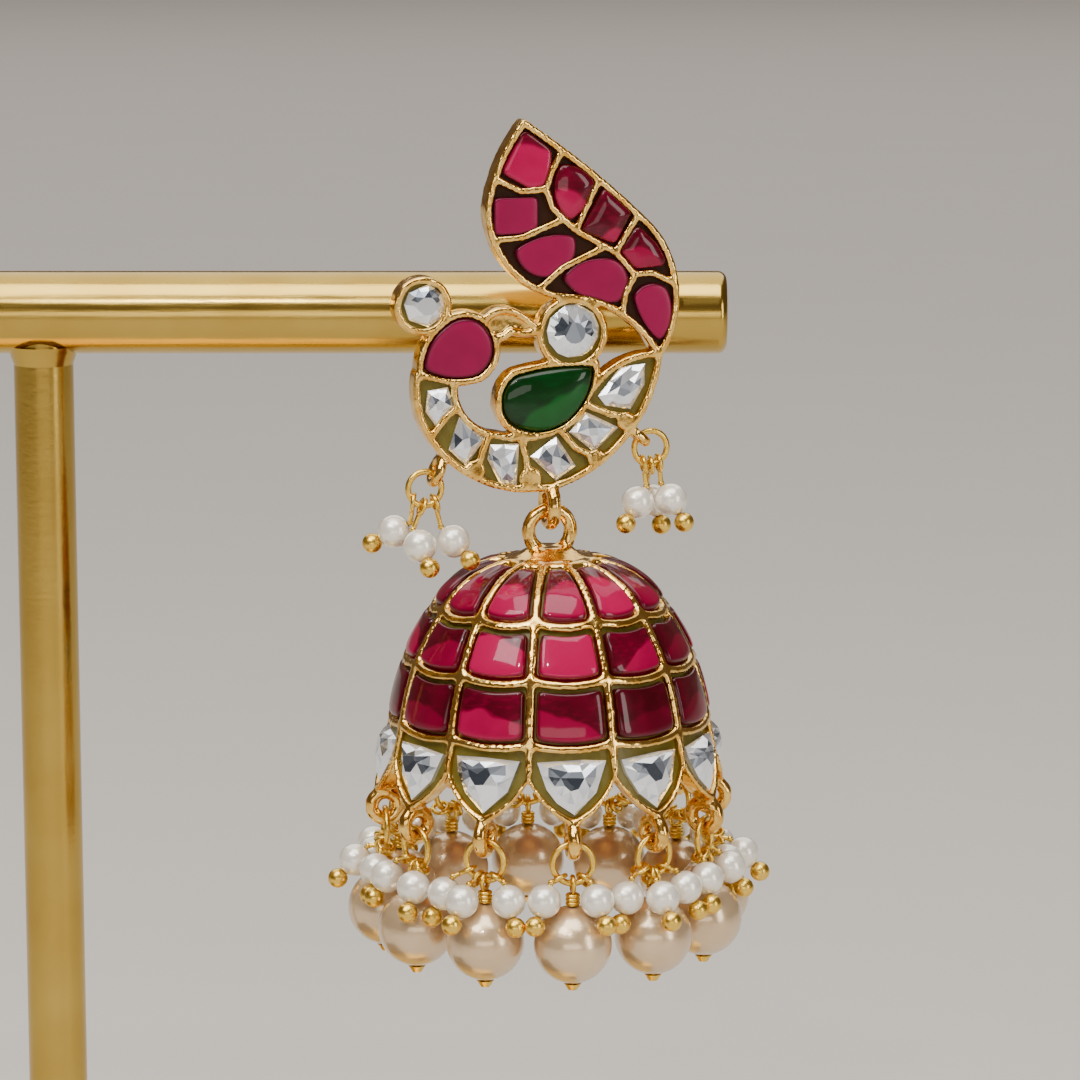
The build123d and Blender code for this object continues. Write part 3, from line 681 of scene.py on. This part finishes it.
# node: corners, growth over the CAD outline, size of the table, and the painted dark band
CUTS = {
    "band_crystal_1": (5, 1.14, 0.36, (0.03, 0.36)),
    "band_crystal_2": (4, 1.18, 0.36, (0.03, 0.36)),
    "band_crystal_3": (5, 1.14, 0.40, (0.03, 0.36)),
    "band_crystal_4": (4, 1.18, 0.36, (0.03, 0.36)),
    "band_crystal_5": (4, 1.16, 0.36, (0.03, 0.36)),
    "band_crystal_6": (6, 1.08, 0.40, (-0.05, 0.36)),
    "crest_crystal": (8, 1.04, 0.50, (0.2, 0.7)),
    "eye_crystal": (12, 1.0, 0.42, (-0.05, 0.5)),
}
for node, (count, grow, table, dusk) in CUTS.items():
    points, faces = solids(node)[0]
    corners = corners_of(rim_of(points, faces, OUT), count)
    middle = corners.mean(axis=0)
    sink = CRYSTAL_SINK * MM * OUT
    stone = middle + (corners - middle) * grow - sink, middle - sink, OUT
    set_crystals(
        f"{node}_cut", [stone], CRYSTAL_HEIGHT, table, dusk, foil,
        "root", "foiled_crystal", node,
    )

# ---- Bell metal -------------------------------------------------------------
# A hollow cast bell: ribs and rings soldered on, twelve petals at its hem, a ring on
# top and a loop under each petal, all gilded. Each ring sags a little in every cell.
AXIS = PIVOT[:2]
# the most that a ring sags, in millimetres
SAG = 0.36
# height from the hook in millimetres, share of the sag, and how far the wall leans out
SLOPE = (
    (-3.5, 0.0, 2.0), (-5.0, 0.55, 1.5), (-7.3, 1.0, 0.75),
    (-11.3, 1.0, 0.4), (-16.0, 1.0, 0.2), (-18.5, 0.0, 0.2),
)
petals = solids("petal_crystals")
STEP = math.tau / len(petals)
PHASE = min(math.atan2(*(points.mean(axis=0)[:2] - AXIS)[::-1]) for points, _ in petals)


def sagged(points):
    """Each cell's middle a little lower than its ribs, along the wall."""
    flat = points[:, :2] - AXIS
    turn = (np.arctan2(flat[:, 1], flat[:, 0]) - PHASE + STEP / 2) % STEP / STEP * 2 - 1
    up = (points[:, 2] - PIVOT[2]) / MM
    heights, shares, leans = np.array(SLOPE[::-1]).T
    drop = SAG * np.interp(up, heights, shares) * (1 - turn ** 2) * MM
    radius = np.maximum(np.linalg.norm(flat, axis=1), MM)
    out = drop * np.interp(up, heights, leans) / radius
    return np.column_stack([points[:, :2] + flat * out[:, None], points[:, 2] - drop])


points, faces = hand_worked(
    "dome", voxel=0.17, passes=2, swell=0.07, wobble=0.035, most=195000
)
# the bell's gilt has the same painted shade in its hollows
piece("bell_metal", sagged(points), faces, gilt, "drop", "antique_gold", "dome")
points, faces = welded("dome_fill")
piece(
    "bell_lac", sagged(points), faces, lac, "drop", "olive_lac", "dome_fill",
    smooth=False,
)


# ---- Ruby stones of the bell ------------------------------------------------
# Three rows of twelve polished stones, each ground to its cell and pressed into lac.
# They are slightly domed and look wet, and the light of the pink foil behind them is
# painted into their colour and glow.
def outward(points, centre):
    """The direction of a thin pad's shortest axis, away from centre."""
    middle = points.mean(axis=0)
    _, _, axes = np.linalg.svd(points - middle)
    return axes[2] * np.sign(axes[2] @ (middle - centre))


# the way that the middle one of the five front columns faces
FRONT_TURN = math.radians(8)
FRONT = np.array([math.sin(FRONT_TURN), -math.cos(FRONT_TURN), 0])
# in millimetres: how far a stone is sunk below its CAD pad, how much more its middle
# is, and how far below its row the point on the bell's axis is that it faces away from
RIM_SINK, MIDDLE_SINK, FACE_DROP = 0.25, 0.02, 4
# a stone's outline as a share of its pad's, and the points round it
BELL_FIT, BELL_RIM_POINTS = 0.97, 72
# row: its stones' height, and the painted foil light of the five that are nearest the
# front, from left to right, painted brighter or darker as the light falls on each
ROWS = {
    "top": (0.42, (
        (0.3, 0.5, 0.2), (0.2, 0.95, 0.1), (-0.2, 0.85, 0.2), (0.3, 1.0, 0.3),
        (0.4, 0.5, 0.0),
    )),
    "middle": (0.42, (
        (-0.5, 0.5, 0.1), (0.3, 1.15, 0.7), (-0.2, 1.15, 0.9), (-1.0, 0.7, -0.1),
        (0, 0.25, 0),
    )),
    "lower": (0.36, (
        (0.2, 0.35, 0.0), (0.1, 0.8, 0.1), (0.5, 0.62, 0.0), (0.0, 0.16, 0.0),
        (0, 0.2, 0),
    )),
}
# the least and the most of the three parts of every other stone's painted light
OTHER_PAINTED_LIGHTS = (-0.6, 0.6), (0.15, 0.9), (-0.3, 0.6)
bell_ruby = foiled_glass(
    "bell_ruby_glass", RUBY, painted_glow=0.45, coat=0.55, coat_roughness=0.05
)
for row, (height, front_painted_lights) in ROWS.items():
    stones = []
    for points, faces in solids(f"dome_stones_{row}"):
        centre = np.array([*AXIS, points[:, 2].mean() - FACE_DROP * MM])
        out = outward(points, centre)
        edge = sagged(rim_of(points, faces, out))
        rim = eased(even(edge, BELL_RIM_POINTS), passes=3)
        middle = rim.mean(axis=0)
        rim = middle + (rim - middle) * BELL_FIT
        bulge = ((sagged(points) - middle) @ out).max() - MIDDLE_SINK * MM
        turn = math.atan2(float(np.cross(FRONT, out)[2]), float(out @ FRONT))
        column = round(turn / STEP) + len(front_painted_lights) // 2
        if 0 <= column < len(front_painted_lights):
            mood = front_painted_lights[column]
        else:
            mood = [random.uniform(*limits) for limits in OTHER_PAINTED_LIGHTS]
        crown = middle + out * (bulge - RIM_SINK * MM)
        stones.append((rim - out * RIM_SINK * MM, crown, out, mood))
    set_stones(
        f"bell_rubies_{row}", stones, TABLE_CUT, height, bell_ruby,
        "drop", "ruby_glass", f"dome_stones_{row}",
    )

# ---- Crystals of the petals -------------------------------------------------
# One three-cornered crystal with foil behind it in each of the twelve petals, point
# down, cut like those of the stud.
# corners, height in millimetres, size of the table, and the painted dark band
PETAL_CORNERS, PETAL_HEIGHT, PETAL_TABLE = 7, 0.7, 0.4
PETAL_DUSK = -0.16, 0.22
# in millimetres: how far the rim and the middle are sunk, and how far up the middle is
PETAL_RIM_SINK, PETAL_MIDDLE_SINK, PETAL_MIDDLE_RISE = 0.2, 0.1, 0.3
stones = []
for points, faces in petals:
    out = outward(points, np.array([*AXIS, points[:, 2].mean()]))
    corners = corners_of(sagged(rim_of(points, faces, out)), PETAL_CORNERS)
    middle = corners.mean(axis=0) + np.array((0, 0, PETAL_MIDDLE_RISE * MM))
    corners = corners - out * PETAL_RIM_SINK * MM
    stones.append((corners, middle - out * PETAL_MIDDLE_SINK * MM, out))
set_crystals(
    "petal_cut_crystals", stones, PETAL_HEIGHT, PETAL_TABLE, PETAL_DUSK, foil,
    "drop", "foiled_crystal", "petal_crystals",
)

# ---- Rings and pins ---------------------------------------------------------
# Gilded wire, bent cold: jump rings in the loops, and pins that go through the pearls,
# with an eye at one end and a ball at the other.
WIRE, WIRE_DEEP = (0.96, 0.69, 0.15), (0.76, 0.45, 0.05)
wire = Finish("gilded_wire", Metallic=1.0)
drawn = wire.grain(size=0.3, detail=3)
wire.feed("Base Color", wire.mix(drawn, WIRE, WIRE_DEEP))
wire.feed("Roughness", 0.2 + drawn * 0.18)
wire.bump(drawn, depth=0.02)
wire.cover(
    "jump_rings", "drop_pearl_pins", "small_pearl_pins", "left_drop_ring",
    "left_drop_pins", "right_drop_ring", "right_drop_pins",
)

# ---- Pearls -----------------------------------------------------------------
# Moulded beads with a pearly coat and a drilled hole: twelve large champagne ones in
# the fringe, and small white ones beside them and in the two side drops.
CHAMPAGNE, CHAMPAGNE_DEEP = (0.84, 0.65, 0.43), (0.60, 0.41, 0.22)
MILK, MILK_DEEP = (1.0, 0.97, 0.89), (0.90, 0.84, 0.71)
pearl = Finish(
    "champagne_pearl", Metallic=0.6, Roughness=0.28, Coat_Weight=1.0,
    Coat_Roughness=0.06,
)
pearl.feed("Base Color", pearl.mix(pearl.grain(size=4), CHAMPAGNE, CHAMPAGNE_DEEP))
pearl.bump(pearl.grain(size=0.9, stretch=(1, 1, 2.5)), depth=0.02)
pearl.cover(*[f"drop_pearl_{n}" for n in range(1, 13)])
seed_pearl = Finish(
    "white_pearl", Metallic=0.4, Roughness=0.3, Coat_Weight=0.8, Coat_Roughness=0.08
)
seed_pearl.feed("Base Color", seed_pearl.mix(seed_pearl.grain(size=1), MILK, MILK_DEEP))
seed_pearl.bump(seed_pearl.grain(size=0.6), depth=0.02)
seed_pearl.cover("small_pearls", "left_drop_pearls", "right_drop_pearls")
